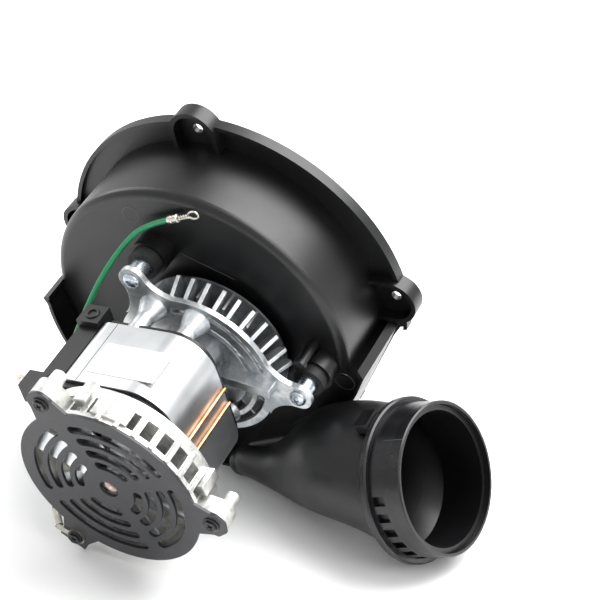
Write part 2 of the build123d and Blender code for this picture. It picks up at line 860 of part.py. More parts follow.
with BuildPart() as rear_bracket:
    with BuildSketch(level(rear_z - rear_floor, bracket_turn)) as rear_base:
        Circle(rear_radius)
        Circle(rear_window_floor, mode=Mode.SUBTRACT)
        Circle(cup_radius)
        for angle in mount_angles:
            with Locations(Location((0, 0, 0), (0, 0, angle + 60))):
                with Locations((rear_radius / 2, 0)):
                    Rectangle(rear_radius - 4.0, rear_spoke_width)
    extrude(amount=rear_floor)
    with BuildSketch(level(rear_z - rear_floor)) as rear_ring:
        Circle(rear_radius)
        Circle(rear_radius - rear_ring_wall, mode=Mode.SUBTRACT)
    extrude(amount=rear_floor + rear_ring_height)
    with BuildSketch(level(guard_back - 9.0, bracket_turn)) as rear_ears:
        for angle in mount_angles:
            with Locations(Location((0, 0, 0), (0, 0, angle))):
                with Locations((rear_ear_circle, 0)):
                    Circle(rear_ear_radius)
                with Locations(((rear_radius + rear_ear_circle) / 2 - 0.5, 0)):
                    Rectangle(rear_ear_circle - rear_radius + 1.0, 2 * rear_ear_radius)
    extrude(amount=9.0)
    for k in range(rear_window_count):
        turn = bracket_turn + rear_window_first + rear_window_step * k
        with Locations(Location((0, 0, 0), (0, 0, turn))):
            with Locations((rear_radius - rear_ring_wall / 2, 0, rear_z + rear_ring_height / 2)):
                Box(
                    3 * rear_ring_wall,
                    rear_window_width,
                    rear_ring_height - rear_window_edge,
                    mode=Mode.SUBTRACT,
                )
    with BuildSketch(level(rear_bearing_z - 2.5)) as rear_cup:
        Circle(cup_radius)
    extrude(amount=bearing_length + 2.5)
    with BuildSketch(level(stator_high, stator_turn)) as columns:
        with Locations(*post_points):
            Circle(post_radius)
    extrude(amount=rear_z - stator_high)
    with BuildSketch(level(stator_high, stator_turn)) as column_bores:
        with Locations(*post_points):
            Circle(bolt_radius)
    extrude(amount=rear_z - stator_high, mode=Mode.SUBTRACT)
    with BuildSketch(level(rear_bearing_z)) as rear_seat:
        Circle(bearing_radius)
    extrude(amount=rear_ring_height, mode=Mode.SUBTRACT)
    with BuildSketch(level(rear_bearing_z - 5.0)) as rear_way:
        Circle(washer_radius + 1.0)
    extrude(amount=rear_ring_height, mode=Mode.SUBTRACT)
    with BuildSketch(level(guard_back - 9.0, bracket_turn)) as guard_bores:
        for angle in mount_angles:
            with Locations(Location((0, 0, 0), (0, 0, angle))):
                with Locations((rear_ear_circle, 0)):
                    Circle(guard_screw_radius)
    extrude(amount=9.0, mode=Mode.SUBTRACT)
rear_bracket.part.label = "rear_bracket"

with BuildPart() as frame_bolts:
    with BuildSketch(level(bracket_z, stator_turn)) as bolt_shanks:
        with Locations(*post_points):
            Circle(bolt_radius)
    extrude(amount=rear_z + bolt_head_height - bracket_z)
    with BuildSketch(level(bracket_z - bolt_head_height, stator_turn)) as bolt_heads:
        with Locations(*post_points):
            RegularPolygon(bolt_head_radius, 6)
    extrude(amount=bolt_head_height)
    with BuildSketch(level(rear_z, stator_turn)) as nuts:
        with Locations(*post_points):
            RegularPolygon(bolt_head_radius, 6)
    extrude(amount=bolt_head_height)
frame_bolts.part.label = "frame_bolts"

with BuildPart() as end_guard:
    with BuildSketch(level(guard_back, bracket_turn)) as guard_face:
        Circle(guard_radius)
        for angle in mount_angles:
            with Locations(Location((0, 0, 0), (0, 0, angle))):
                Polygon(
                    (guard_radius - 8.0, -13.0),
                    (rear_ear_circle, -rear_ear_radius),
                    (rear_ear_circle, rear_ear_radius),
                    (guard_radius - 8.0, 13.0),
                    align=None,
                )
        with Locations(Location((0, 0, 0), (0, 0, 120))):
            with Locations((rear_ear_circle, 0)):
                Circle(rear_ear_radius)
        with Locations(Location((0, 0, 0), (0, 0, 0))):
            with Locations((rear_ear_circle, 0)):
                RegularPolygon(rear_ear_radius, 8, major_radius=False, rotation=22.5)
        with Locations(Location((0, 0, 0), (0, 0, 240))):
            with Locations((rear_ear_circle + guard_tab / 2, 0)):
                Rectangle(guard_tab, 2 * rear_ear_radius)
        Circle(guard_hole_radius, mode=Mode.SUBTRACT)
        for angle in mount_angles:
            with Locations(Location((0, 0, 0), (0, 0, angle))):
                with Locations((rear_ear_circle, 0)):
                    Circle(guard_screw_radius, mode=Mode.SUBTRACT)
        for radius in guard_slots:
            lost = degrees(atan2((guard_web + guard_slot_width) / 2, radius))
            for quarter in range(4):
                start = guard_web_angle - 2 * bracket_turn + 90 * quarter + lost
                SlotArc(
                    CenterArc((0, 0), radius, start, 90 - 2 * lost),
                    guard_slot_width,
                    mode=Mode.SUBTRACT,
                )
    extrude(amount=guard_thickness)
end_guard.part.label = "end_guard"

ring_thickness = 0.8
with BuildPart() as guard_screws:
    for angle in mount_angles:
        seat = guard_front + (ring_thickness if angle == 240 else 0.0)
        spot = around(rear_ear_circle, angle, 0, bracket_turn)
        with BuildSketch(Plane.XY.offset(guard_back - 9.0)) as screw_shank:
            with Locations((spot.X, spot.Y)):
                Circle(guard_screw_radius)
        extrude(amount=seat - guard_back + 9.0)
        with BuildSketch(Plane.XY.offset(seat)) as screw_head:
            with Locations((spot.X, spot.Y)):
                Circle(guard_head_radius)
        extrude(amount=guard_head_height)
guard_screws.part.label = "guard_screws"

boss_top = scroll_depth + boss_height
with BuildPart() as grommets:
    with BuildSketch(Plane.XY.offset(boss_top)) as grommet_rings:
        for spot in mount_spots:
            with Locations((spot.X, spot.Y)):
                Circle(grommet_radius)
                Circle(screw_radius, mode=Mode.SUBTRACT)
    extrude(amount=grommet_height)
grommets.part.label = "grommets"

with BuildPart() as spacer_sleeves:
    with BuildSketch(Plane.XY.offset(boss_top + grommet_height)) as sleeve_rings:
        for spot in mount_spots:
            with Locations((spot.X, spot.Y)):
                Circle(sleeve_radius)
                Circle(screw_radius, mode=Mode.SUBTRACT)
    extrude(amount=bracket_z - boss_top - grommet_height)
spacer_sleeves.part.label = "spacer_sleeves"

with BuildPart() as mount_screws:
    with BuildSketch(Plane.XY.offset(scroll_depth)) as mount_shanks:
        for spot in mount_spots:
            with Locations((spot.X, spot.Y)):
                Circle(screw_radius)
    extrude(amount=bracket_top - scroll_depth)
    with BuildSketch(Plane.XY.offset(bracket_top)) as mount_heads:
        for spot in mount_spots:
            with Locations((spot.X, spot.Y)):
                Circle(head_radius)
    extrude(amount=head_height)
mount_screws.part.label = "mount_screws"


def lead_radii(points):
    """Bend radius at each inner point of the lead."""
    radii = []
    for before, here, after in zip(points, points[1:], points[2:]):
        into = Vector(*here) - Vector(*before)
        out = Vector(*after) - Vector(*here)
        half_turn = radians(into.get_angle(out)) / 2
        radii.append(0.45 * min(into.length, out.length) / tan(half_turn))
    return radii


bends = lead_radii(lead_points)
print("lead bends", [round(bend, 1) for bend in bends])
with BuildPart() as ground_lead:
    with BuildLine() as lead_route:
        FilletPolyline(*lead_points, radius=bends)
    with BuildSketch(Plane(lead_route.line @ 0, z_dir=lead_route.line % 0)) as lead_section:
        Circle(lead_radius)
    sweep()
ground_lead.part.label = "ground_lead"
lead_length = lead_route.wires()[0].length
print("lead length", round(lead_length, 1), "volume", round(ground_lead.part.volume, 1))
print("section x length", round(pi * lead_radius**2 * lead_length, 1))

lead_start = Vector(*lead_points[0])
start_heading = (Vector(*lead_points[1]) - lead_start).normalized()
ring_spot = around(rear_ear_circle, 240, guard_front, bracket_turn)
crimp_length = 6.0
with BuildPart() as ring_terminal:
    with BuildSketch(Plane.XY.offset(guard_front)) as ring_face:
        with Locations((ring_spot.X, ring_spot.Y)):
            Circle(4.8)
        with BuildLine():
            Line((ring_spot.X, ring_spot.Y), (lead_start.X + 2.4, lead_start.Y - 2.4))
        trace(line_width=4.0)
        with Locations((ring_spot.X, ring_spot.Y)):
            Circle(guard_screw_radius, mode=Mode.SUBTRACT)
    extrude(amount=ring_thickness)
    with BuildSketch(Plane(lead_start - start_heading * crimp_length, z_dir=start_heading)) as ring_crimp:
        Circle(lead_radius + 0.7)
    extrude(amount=crimp_length)
    with BuildSketch(Plane(lead_start, z_dir=start_heading)) as ring_grip:
        Circle(lead_radius + 0.7)
        Circle(lead_radius, mode=Mode.SUBTRACT)
    extrude(amount=3.0)
ring_terminal.part.label = "ring_terminal"

lead_end = Vector(*lead_points[-1])
end_heading = (lead_end - Vector(*lead_points[-2])).normalized()
with BuildPart() as lead_terminal:
    with BuildSketch(Plane(lead_end - end_heading * 3.0, z_dir=end_heading)) as grip:
        Circle(lead_radius + 0.7)
        Circle(lead_radius, mode=Mode.SUBTRACT)
    extrude(amount=3.0)
    with BuildSketch(Plane(lead_end, z_dir=end_heading)) as grip_end:
        Circle(lead_radius + 0.7)
    extrude(amount=crimp_length)
    with Locations((lead_end.X + crimp_length + 5.5, lead_end.Y, lead_end.Z)):
        Box(12.0, 5.0, ring_thickness)
        with Locations((1.5, 0, 0)):
            Cylinder(1.6, 3.0, mode=Mode.SUBTRACT)
lead_terminal.part.label = "lead_terminal"

pieces = (
    housing,
    housing_face,
    horn_shell,
    outlet_pipe,
    outlet_collar,
    inlet_plate,
    plate_screws,
    impeller_disc,
    impeller_blades,
    impeller_ring,
    motor_shaft,
    shaft_seal,
    rotor_core,
    thrust_washers,
    front_fan,
    rear_fan,
    bearings,
    front_bracket,
    stator_core,
    stator_wrap,
    stator_label,
    stator_coils,
    stator_insulators,
    shading_rods,
    terminal_strip,
    spade_terminals,
    rear_bracket,
    frame_bolts,
    end_guard,
    guard_screws,
    grommets,
    spacer_sleeves,
    mount_screws,
    ground_lead,
    ring_terminal,
    lead_terminal,
)

# lay the pieces on the bench, with the middle of their footprint at the origin
lead_nodes = ("ground_lead", "ring_terminal", "lead_terminal")
laid = {piece.part.label: bench.to_local_coords(piece.part) for piece in pieces}
boxes = [piece.bounding_box() for name, piece in laid.items() if name not in lead_nodes]
low_x = min(box.min.X for box in boxes)
high_x = max(box.max.X for box in boxes)
low_y = min(box.min.Y for box in boxes)
high_y = max(box.max.Y for box in boxes)
low_z = min(box.min.Z for box in boxes)
high_z = max(box.max.Z for box in boxes)
middle = Location((-(low_x + high_x) / 2, -(low_y + high_y) / 2, -low_z))
print("extents", round(high_x - low_x, 2), round(high_y - low_y, 2), round(high_z - low_z, 2))
print("shift", [round(step, 3) for step in middle.position])

os.makedirs("parts", exist_ok=True)
for name, piece in laid.items():
    piece = piece.moved(middle)
    piece.label = name
    low = piece.bounding_box().min.Z
    print(name, len(piece.solids()), round(piece.volume), piece.is_valid, "low", round(low, 2))
    export_step(piece, f"parts/{name}.step")
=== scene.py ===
import json
import math

import bmesh
import bpy
from mathutils import Matrix, Vector


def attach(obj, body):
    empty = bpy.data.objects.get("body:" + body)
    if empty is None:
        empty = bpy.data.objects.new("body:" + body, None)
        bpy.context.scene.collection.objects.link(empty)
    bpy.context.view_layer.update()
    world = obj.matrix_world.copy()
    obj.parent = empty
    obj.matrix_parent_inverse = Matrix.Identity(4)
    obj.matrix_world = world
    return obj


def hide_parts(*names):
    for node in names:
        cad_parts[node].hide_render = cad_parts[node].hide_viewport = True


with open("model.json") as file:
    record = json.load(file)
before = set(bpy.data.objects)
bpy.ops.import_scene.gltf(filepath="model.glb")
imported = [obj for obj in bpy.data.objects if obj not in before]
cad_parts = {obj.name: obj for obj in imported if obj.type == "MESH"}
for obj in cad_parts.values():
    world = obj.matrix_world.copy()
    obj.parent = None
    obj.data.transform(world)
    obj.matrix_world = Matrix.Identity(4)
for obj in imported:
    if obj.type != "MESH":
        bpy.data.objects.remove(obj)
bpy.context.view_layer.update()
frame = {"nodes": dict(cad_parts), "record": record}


nodes = frame["nodes"]
record = frame["record"]
mm = 0.001

# the shaft's own frame: Z along the shaft towards the motor, X along the outlet
shaftJoint = record["behaviour"]["joints"][0]
outletMount = next(m for m in record["mounts"] if m["name"] == "outlet_bore")
shaftZ = Vector(shaftJoint["axis"]).normalized()
shaftX = Vector(outletMount["axis"]).normalized()
shaftY = shaftZ.cross(shaftX)
shaftAxes = Matrix((shaftX, shaftY, shaftZ)).transposed().to_4x4()
shaftFrame = Matrix.Translation(shaftJoint["pos_m"]) @ shaftAxes


def inShaft(x, y, z):
    # millimetres in the shaft's frame to metres in the model's
    return shaftFrame @ Vector((x * mm, y * mm, z * mm))


def shift(x, y, z):
    # a move in millimetres
    return Matrix.Translation((x * mm, y * mm, z * mm))


def turn(degrees, axis="Z"):
    return Matrix.Rotation(math.radians(degrees), 4, axis)


def aroundShaft(radius, degrees, height):
    angle = math.radians(degrees)
    return shaftFrame @ shift(radius * math.cos(angle), radius * math.sin(angle), height)


def linearColour(hexText):
    # sRGB hex to linear RGBA
    parts = [int(hexText[i:i + 2], 16) / 255 for i in (1, 3, 5)]
    return [p / 12.92 if p <= 0.04045 else ((p + 0.055) / 1.055) ** 2.4 for p in parts] + [1.0]


def perMetre(sizeMm):
    # texture scale for features of this size
    return 1000.0 / sizeMm


def addNode(tree, kind, values=None, links=None, **settings):
    node = tree.nodes.new(kind)
    for name, value in settings.items():
        setattr(node, name, value)
    for socket, value in (values or {}).items():
        node.inputs[socket].default_value = value
    for socket, source in (links or {}).items():
        tree.links.new(source, node.inputs[socket])
    return node


def newMaterial(name):
    material = bpy.data.materials.new(name)
    material.use_nodes = True
    tree = material.node_tree
    tree.nodes.clear()
    shader = addNode(tree, "ShaderNodeBsdfPrincipled")
    addNode(tree, "ShaderNodeOutputMaterial", links={"Surface": shader.outputs[0]})
    place = addNode(tree, "ShaderNodeTexCoord").outputs["Object"]
    return material, tree, shader, place


def paint(tree, shader, look, tint, gloss, stops=(0.0, 1.0)):
    # one pattern takes the colour from dark to light between its stops, another drives the roughness
    ramp = addNode(tree, "ShaderNodeValToRGB", links={"Fac": tint})
    for element, stop, colour in zip(ramp.color_ramp.elements, stops, (look["dark"], look["light"])):
        element.position = stop
        element.color = linearColour(colour)
    low, high = look["roughness"]
    rough = addNode(tree, "ShaderNodeMapRange", {"To Min": low, "To Max": high}, {"Value": gloss})
    tree.links.new(ramp.outputs["Color"], shader.inputs["Base Color"])
    tree.links.new(rough.outputs["Result"], shader.inputs["Roughness"])


# glass-filled polypropylene, moulded in a spark-finished tool: deep satin black with soft broad shine,
# faint flow clouds and a fine grain
def mouldedBlack(name, look):
    material, tree, shader, place = newMaterial(name)
    clouds = addNode(
        tree, "ShaderNodeTexNoise",
        {"Scale": perMetre(look["cloudMm"]), "Detail": 4.0, "Roughness": 0.55}, {"Vector": place},
    )
    grain = addNode(
        tree, "ShaderNodeTexNoise",
        {"Scale": perMetre(look["grainMm"]), "Detail": 3.0, "Roughness": 0.6}, {"Vector": place},
    )
    scuffs = addNode(
        tree, "ShaderNodeTexNoise",
        {"Scale": perMetre(look["scuffMm"]), "Detail": 6.0, "Roughness": 0.7, "Distortion": 0.4},
        {"Vector": place},
    )
    bump = addNode(
        tree, "ShaderNodeBump",
        {"Strength": look["grainBump"], "Distance": 0.2 * mm}, {"Height": grain.outputs["Fac"]},
    )
    paint(tree, shader, look, clouds.outputs["Fac"], scuffs.outputs["Fac"], (0.3, 0.75))
    tree.links.new(bump.outputs["Normal"], shader.inputs["Normal"])
    shader.inputs["IOR"].default_value = 1.49  # polypropylene, and near enough for the other black plastics
    return material


housingLook = {
    "dark": "#060607", "light": "#0d0d0f", "cloudMm": 40.0, "grainMm": 0.7, "scuffMm": 18.0,
    "roughness": (0.30, 0.44), "grainBump": 0.14,
}
mouldEdgeLook = {
    "dark": "#3a3a3e", "light": "#55555a", "cloudMm": 8.0, "grainMm": 0.6, "scuffMm": 6.0,
    "roughness": (0.3, 0.45), "grainBump": 0.05,
}
collarLook = {
    "dark": "#0a0a0c", "light": "#121215", "cloudMm": 30.0, "grainMm": 0.6, "scuffMm": 14.0,
    "roughness": (0.22, 0.36), "grainBump": 0.10,
}
stripLook = {
    "dark": "#0b0b0c", "light": "#141416", "cloudMm": 12.0, "grainMm": 0.5, "scuffMm": 6.0,
    "roughness": (0.34, 0.5), "grainBump": 0.12,
}


# die-cast aluminium, tumbled after casting: bright mottled skin with darker, rougher flow patches
def dieCastAluminium(name, look):
    material, tree, shader, place = newMaterial(name)
    patches = addNode(
        tree, "ShaderNodeTexNoise",
        {"Scale": perMetre(look["patchMm"]), "Detail": 5.0, "Roughness": 0.6, "Distortion": 1.2},
        {"Vector": place},
    ).outputs["Fac"]
    pits = addNode(
        tree, "ShaderNodeTexNoise",
        {"Scale": perMetre(look["pitMm"]), "Detail": 4.0, "Roughness": 0.65}, {"Vector": place},
    )
    edge = addNode(tree, "ShaderNodeBevel", {"Radius": look["edgeMm"] * mm}, samples=4)
    bump = addNode(
        tree, "ShaderNodeBump", {"Strength": look["pitBump"], "Distance": 0.4 * mm},
        {"Height": pits.outputs["Fac"], "Normal": edge.outputs["Normal"]},
    )
    paint(tree, shader, look, patches, patches, (0.36, 0.6))
    tree.links.new(bump.outputs["Normal"], shader.inputs["Normal"])
    shader.inputs["Metallic"].default_value = 1.0
    return material


frontCastLook = {
    "dark": "#b4babf", "light": "#eceeef", "patchMm": 14.0, "pitMm": 1.6,
    "roughness": (0.46, 0.3), "pitBump": 0.22, "edgeMm": 0.5,
}
rearCastLook = {
    "dark": "#b2b3b1", "light": "#e3e2de", "patchMm": 9.0, "pitMm": 1.2,
    "roughness": (0.52, 0.34), "pitBump": 0.3, "edgeMm": 0.5,
}
cageLook = {
    "dark": "#7c7e80", "light": "#b9bbbc", "patchMm": 6.0, "pitMm": 1.0,
    "roughness": (0.55, 0.35), "pitBump": 0.2, "edgeMm": 0.3,
}


# rolled, drawn or plated metal: soft shine, streaked where its grain is drawn out along the shaft or
# across it
def brushedSheet(name, look):
    material, tree, shader, place = newMaterial(name)
    toShaft = shaftFrame.to_3x3().transposed().to_euler()
    alongShaft = addNode(tree, "ShaderNodeMapping", {"Rotation": toShaft}, {"Vector": place})
    drawnOut = addNode(
        tree, "ShaderNodeMapping", {"Scale": look["stretch"]}, {"Vector": alongShaft.outputs["Vector"]},
    )
    lines = addNode(
        tree, "ShaderNodeTexNoise",
        {"Scale": perMetre(look["lineMm"]), "Detail": 4.0, "Roughness": 0.6},
        {"Vector": drawnOut.outputs["Vector"]},
    ).outputs["Fac"]
    haze = addNode(
        tree, "ShaderNodeTexNoise", {"Scale": perMetre(look["hazeMm"]), "Detail": 3.0}, {"Vector": place},
    )
    bump = addNode(
        tree, "ShaderNodeBump", {"Strength": look["lineBump"], "Distance": 0.1 * mm}, {"Height": lines},
    )
    paint(tree, shader, look, haze.outputs["Fac"], lines, (0.3, 0.7))
    tree.links.new(bump.outputs["Normal"], shader.inputs["Normal"])
    shader.inputs["Metallic"].default_value = 1.0
    return material


shaftFaceLook = {
    "dark": "#c7aea4", "light": "#e0cdc4", "lineMm": 0.4, "hazeMm": 3.0,
    "stretch": (1.0, 1.0, 0.2), "roughness": (0.32, 0.45), "lineBump": 0.1,
}
wrapLook = {
    "dark": "#b9bbbd", "light": "#d2d4d5", "lineMm": 0.5, "hazeMm": 25.0,
    "stretch": (1.0, 1.0, 0.04), "roughness": (0.32, 0.42), "lineBump": 0.12,
}
fanLook = {
    "dark": "#b9bcbf", "light": "#dcdedf", "lineMm": 0.8, "hazeMm": 9.0,
    "stretch": (1.0, 1.0, 0.2), "roughness": (0.25, 0.4), "lineBump": 0.1,
}
wheelLook = {
    "dark": "#8e9092", "light": "#b3b5b6", "lineMm": 0.8, "hazeMm": 7.0,
    "stretch": (1.0, 1.0, 0.2), "roughness": (0.35, 0.5), "lineBump": 0.1,
}
steelLook = {
    "dark": "#a3a4a6", "light": "#bfc0c1", "lineMm": 0.3, "hazeMm": 6.0,
    "stretch": (0.1, 0.1, 1.0), "roughness": (0.18, 0.3), "lineBump": 0.08,
}
laminationLook = {
    "dark": "#5b5c5e", "light": "#8a8b8c", "lineMm": 0.5, "hazeMm": 5.0,
    "stretch": (0.02, 0.02, 1.0), "roughness": (0.35, 0.5), "lineBump": 0.5,
}
tinLook = {
    "dark": "#b4b1a8", "light": "#d3d0c8", "lineMm": 0.4, "hazeMm": 3.0,
    "stretch": (1.0, 1.0, 1.0), "roughness": (0.22, 0.38), "lineBump": 0.1,
}
zincLook = {
    "dark": "#a9b3be", "light": "#ccd3da", "lineMm": 0.5, "hazeMm": 4.0,
    "stretch": (1.0, 1.0, 0.3), "roughness": (0.2, 0.34), "lineBump": 0.1,
}
copperLook = {
    "dark": "#b07a55", "light": "#d3a37e", "lineMm": 0.4, "hazeMm": 8.0,
    "stretch": (1.0, 1.0, 0.05), "roughness": (0.18, 0.3), "lineBump": 0.05,
}
bronzeLook = {
    "dark": "#8a6a3c", "light": "#a98550", "lineMm": 0.4, "hazeMm": 3.0,
    "stretch": (1.0, 1.0, 1.0), "roughness": (0.35, 0.5), "lineBump": 0.1,
}


# hot-dip galvanised sheet: grey with crystal spangle
def galvanisedSheet(name, look):
    material, tree, shader, place = newMaterial(name)
    spangle = addNode(
        tree, "ShaderNodeTexVoronoi", {"Scale": perMetre(look["spangleMm"]), "Randomness": 1.0},
        {"Vector": place},
    )
    tone = addNode(tree, "ShaderNodeRGBToBW", links={"Color": spangle.outputs["Color"]}).outputs["Val"]
    paint(tree, shader, look, tone, tone)
    shader.inputs["Metallic"].default_value = 1.0
    return material


galvanisedLook = {"dark": "#9ea2a5", "light": "#adb1b4", "spangleMm": 3.5, "roughness": (0.34, 0.46)}


# stove-enamelled or oxide-blacked steel: satin black with a slight orange peel
def satinEnamel(name, look):
    material, tree, shader, place = newMaterial(name)
    peel = addNode(
        tree, "ShaderNodeTexNoise", {"Scale": perMetre(look["peelMm"]), "Detail": 2.0}, {"Vector": place},
    )
    dust = addNode(
        tree, "ShaderNodeTexNoise", {"Scale": perMetre(look["dustMm"]), "Detail": 6.0, "Roughness": 0.7},
        {"Vector": place},
    ).outputs["Fac"]
    edge = addNode(tree, "ShaderNodeBevel", {"Radius": look["edgeMm"] * mm}, samples=4)
    bump = addNode(
        tree, "ShaderNodeBump", {"Strength": look["peelBump"], "Distance": 0.2 * mm},
        {"Height": peel.outputs["Fac"], "Normal": edge.outputs["Normal"]},
    )
    paint(tree, shader, look, dust, dust, (0.4, 0.8))
    tree.links.new(bump.outputs["Normal"], shader.inputs["Normal"])
    return material


# the guard's enamel is black; these colours lift it to dark grey, painted sheen that stands in for its shine
guardEnamelAndSheenLook = {
    "dark": "#232326", "light": "#303034", "peelMm": 1.4, "dustMm": 9.0,
    "roughness": (0.28, 0.42), "peelBump": 0.12, "edgeMm": 0.3,
}
oxideLook = {
    "dark": "#0b0b0c", "light": "#161617", "peelMm": 0.8, "dustMm": 3.0,
    "roughness": (0.3, 0.45), "peelBump": 0.12, "edgeMm": 0.3,
}


# soft moulded rubber: deep matt black with a dull bloom
def mouldedRubber(name, look):
    material, tree, shader, place = newMaterial(name)
    bloom = addNode(
        tree, "ShaderNodeTexNoise", {"Scale": perMetre(look["bloomMm"]), "Detail": 5.0}, {"Vector": place},
    ).outputs["Fac"]
    paint(tree, shader, look, bloom, bloom)
    return material


rubberLook = {"dark": "#080808", "light": "#121212", "bloomMm": 2.5, "roughness": (0.5, 0.72)}


# metallised film, blank: pale silver with a soft sheen
def metallisedFilm(name, look):
    material, tree, shader, place = newMaterial(name)
    haze = addNode(
        tree, "ShaderNodeTexNoise", {"Scale": perMetre(look["hazeMm"]), "Detail": 3.0}, {"Vector": place},
    ).outputs["Fac"]
    paint(tree, shader, look, haze, haze)
    shader.inputs["Metallic"].default_value = 0.7  # the metal lies under a clear lacquer
    return material


filmLook = {"dark": "#d2d3d2", "light": "#e4e4e2", "hazeMm": 6.0, "roughness": (0.38, 0.46)}


# extruded PVC insulation: mid green with a soft shine
def extrudedVinyl(name, look):
    material, tree, shader, place = newMaterial(name)
    shade = addNode(
        tree, "ShaderNodeTexNoise", {"Scale": perMetre(look["shadeMm"]), "Detail": 3.0}, {"Vector": place},
    ).outputs["Fac"]
    paint(tree, shader, look, shade, shade)
    shader.inputs["IOR"].default_value = 1.53  # PVC
    return material


vinylLook = {"dark": "#0d6b41", "light": "#1b8a57", "shadeMm": 5.0, "roughness": (0.3, 0.42)}

finishes = {
    "housing_plastic": mouldedBlack("filledPolypropylene", housingLook),
    "collar_plastic": mouldedBlack("collarNylon", collarLook),
    "strip_plastic": mouldedBlack("stripPhenolic", stripLook),
    "coil_tape": mouldedBlack("windingTape", stripLook),
    "cast_aluminium": dieCastAluminium("tumbledDieCast", frontCastLook),
    "cage_aluminium": dieCastAluminium("cageCasting", cageLook),
    "wrap_steel": brushedSheet("satinWrapSheet", wrapLook),
    "fan_aluminium": brushedSheet("stampedFanSheet", fanLook),
    "wheel_steel": brushedSheet("aluminisedSheet", wheelLook),
    "ground_steel": brushedSheet("groundBar", steelLook),
    "lamination_steel": brushedSheet("stackedLaminations", laminationLook),
    "tinned_brass": brushedSheet("tinnedStrip", tinLook),
    "zinc_steel": brushedSheet("brightZinc", zincLook),
    "copper_wire": brushedSheet("brightCopper", copperLook),
    "bearing_bronze": brushedSheet("sinteredBronze", bronzeLook),
    "galvanised_steel": galvanisedSheet("hotDipSheet", galvanisedLook),
    "guard_steel": satinEnamel("satinStoveEnamelAndSheen", guardEnamelAndSheenLook),
    "black_screw": satinEnamel("blackOxide", oxideLook),
    "seal_rubber": mouldedRubber("mouldedRubber", rubberLook),
    "label_film": metallisedFilm("blankFilm", filmLook),
    "lead_insulation": extrudedVinyl("greenVinyl", vinylLook),
}
# finishes of pieces and nodes that differ from their slot's own
rearCast = dieCastAluminium("tumbledDieCastRear", rearCastLook)
shaftFace = brushedSheet("facedShaftEnd", shaftFaceLook)
# painted shadow for the wrap's lap seam, in the black oxide's colour
seamShadow = satinEnamel("seamShadow", oxideLook)
mouldEdge = mouldedBlack("mouldEdge", mouldEdgeLook)

for part in record["subparts"]:
    finish = rearCast if part["node"] == "rear_bracket" else finishes[part["material_slot"]]
    slots = nodes[part["node"]].material_slots
    for slot in slots:
        slot.material = finish
    if not slots:
        nodes[part["node"]].data.materials.append(finish)
print("materials on", len(record["subparts"]), "nodes")


def newPiece(name, shape, body, slotName, finish=None):
    # a mesh or a curve made a piece of the model, in its slot's finish unless another is given
    piece = bpy.data.objects.new(name, shape)
    bpy.context.scene.collection.objects.link(piece)
    shape.materials.append(finish or finishes[slotName])
    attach(piece, body)
    return piece


def finishGrid(grid, name, smoothAngle=35.0):
    bmesh.ops.recalc_face_normals(grid, faces=grid.faces)
    mesh = bpy.data.meshes.new(name)
    grid.to_mesh(mesh)
    grid.free()
    for face in mesh.polygons:
        face.use_smooth = True
    mesh.set_sharp_from_angle(angle=math.radians(smoothAngle))
    return mesh


def loopPoints(radius, sides=48):
    # a closed outline from a radius, or from a radius that depends on the angle
    outline = []
    for k in range(sides):
        angle = 2 * math.pi * k / sides
        reach = radius(angle) if callable(radius) else radius
        outline.append((reach * math.cos(angle), reach * math.sin(angle)))
    return outline


def hexOutline(flat):
    # a hexagon, from the middle to a flat
    def reach(angle):
        return flat / math.cos((angle + math.pi / 6) % (math.pi / 3) - math.pi / 6)
    return reach


def crossOutline(arm, half):
    # a cross recess, from the middle to an arm's end and to its side
    def reach(angle):
        away = abs((angle + math.pi / 4) % (math.pi / 2) - math.pi / 4)
        return min(arm / math.cos(away), half / max(math.sin(away), 0.001))
    return reach


def stackLoops(grid, loops, place):
    # skins one outline to the next, from the closed bottom to the closed top
    rings = []
    for height, radius in loops:
        outline = loopPoints(radius)
        rings.append([grid.verts.new(place @ Vector((x * mm, y * mm, height * mm))) for x, y in outline])
    for low, high in zip(rings, rings[1:]):
        for k in range(len(low)):
            grid.faces.new((low[k - 1], low[k], high[k], high[k - 1]))
    grid.faces.new(list(reversed(rings[0])))
    grid.faces.new(rings[-1])


def addBlock(grid, place, low, high, edge):
    # a block with rounded edges, sizes in millimetres in its own frame
    middle = Vector([(a + b) / 2 * mm for a, b in zip(low, high)])
    size = Matrix.Diagonal([(b - a) * mm for a, b in zip(low, high)] + [1.0])
    made = bmesh.ops.create_cube(grid, size=1.0, matrix=place @ Matrix.Translation(middle) @ size)
    edges = {e for v in made["verts"] for e in v.link_edges}
    bmesh.ops.bevel(grid, geom=list(edges), offset=edge * mm, segments=3, affect="EDGES", profile=0.5)


# screws: flanged hexagon heads on the guard, round heads with a cross recess on the front bracket
screwLook = {
    "plainEars": (-27.0, 93.0), "ringEar": 213.0,  # the lead's ring terminal lies under one guard screw
    "guardCircle": 55.5, "guardSeat": 157.0, "ringThickness": 0.8, "guardShank": 2.05, "guardReach": -8.9,
    "mountCircle": 57.5, "mountSeat": 71.0, "mountShank": 1.85, "mountReach": -25.9,
    "guardHead": (
        (0.0, 4.2), (0.55, 4.2), (0.75, 3.9), (0.8, hexOutline(3.1)), (1.8, hexOutline(3.1)),
        (2.0, hexOutline(2.85)), (2.0, 2.35), (1.75, 2.1), (1.75, crossOutline(1.7, 0.42)),
        (0.7, crossOutline(1.3, 0.32)),
    ),
    "mountHead": (
        (0.0, 4.1), (0.25, 4.4), (1.1, 4.25), (1.9, 3.5), (2.45, 2.3), (2.58, crossOutline(2.1, 0.5)),
        (1.3, crossOutline(1.5, 0.36)),
    ),
}


